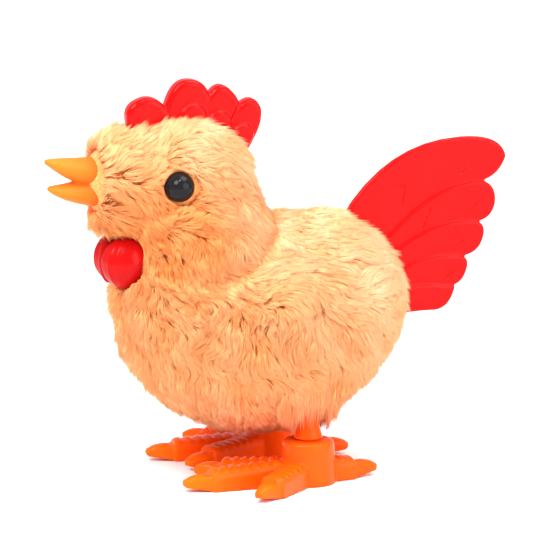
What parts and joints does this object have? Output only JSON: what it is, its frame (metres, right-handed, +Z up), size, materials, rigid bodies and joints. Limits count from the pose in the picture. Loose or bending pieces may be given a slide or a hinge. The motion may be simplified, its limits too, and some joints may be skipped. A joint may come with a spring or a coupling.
{
  "type": "wind-up hopping rooster toy",
  "caption": "Plush-covered rooster on two moulded feet, with comb, wattle, open beak and tail fan; a side knob winds a spring motor that rocks the legs so it hops.",
  "frame": {"origin": "on the ground, at the centre of the footprint box", "axes": "+Z up, the bird faces -Y and its tail points to +Y, +X is the bird's left side"},
  "size_m": [0.0656, 0.11, 0.092],
  "materials": {
    "plush": "long pile fur fabric",
    "comb_red": "gloss moulded plastic",
    "wattle_red": "gloss moulded plastic",
    "feet_orange": "translucent gloss moulded plastic",
    "beak_orange": "satin moulded plastic",
    "eye_black": "polished black bead",
    "case_white": "moulded plastic",
    "wheel_white": "moulded acetal",
    "steel": "bright steel"
  },
  "bodies": {
    "root": {"mainspring": "steel", "motor_case_left": "case_white", "motor_case_right": "case_white", "bridge_plate": "case_white", "case_screw_front": "steel", "case_screw_rear_upper": "steel", "case_screw_rear_lower": "steel", "comb": "comb_red", "tail_fan": "comb_red", "beak": "beak_orange", "wattle": "wattle_red", "eye_left": "eye_black", "eye_right": "eye_black", "body_shell_left": "case_white", "body_shell_right": "case_white", "plush_cover_left": "plush", "plush_cover_right": "plush"},
    "winding": {"winding_knob": "feet_orange", "winding_arbor": "steel", "great_wheel": "wheel_white"},
    "second": {"second_wheel": "wheel_white", "second_axle": "steel"},
    "crank": {"crank_wheel": "wheel_white", "crank_axle": "steel", "crank_disc": "wheel_white"},
    "governor": {"governor": "wheel_white", "governor_axle": "steel"},
    "legs": {"leg_axle": "steel", "rocker_arm": "wheel_white", "leg_left": "feet_orange", "leg_right": "feet_orange", "leg_cap_left": "case_white", "leg_cap_right": "case_white", "foot_left": "feet_orange", "foot_right": "feet_orange"}
  },
  "joints": [
    {"name": "winding_turn", "type": "hinge", "parent": "root", "child": "winding", "pos_m": [0, -0.0002, 0.0376], "axis": [1, 0, 0], "continuous": true},
    {"name": "second_wheel_turn", "type": "hinge", "parent": "root", "child": "second", "pos_m": [0, -0.0103, 0.03902], "axis": [1, 0, 0], "continuous": true},
    {"name": "crank_turn", "type": "hinge", "parent": "root", "child": "crank", "pos_m": [0, -0.00874, 0.03016], "axis": [1, 0, 0], "continuous": true},
    {"name": "governor_turn", "type": "hinge", "parent": "root", "child": "governor", "pos_m": [0, -0.0155, 0.02769], "axis": [1, 0, 0], "continuous": true},
    {"name": "leg_rock", "type": "hinge", "parent": "root", "child": "legs", "pos_m": [0, 0.0036, 0.0255], "axis": [1, 0, 0], "range_deg": [-9, 9]}
  ],
  "couplings": [
    {"joint": "second_wheel_turn", "follows": "winding_turn", "ratio": -3.25},
    {"joint": "crank_turn", "follows": "winding_turn", "ratio": 8.9375},
    {"joint": "governor_turn", "follows": "winding_turn", "ratio": -17.875}
  ]
}
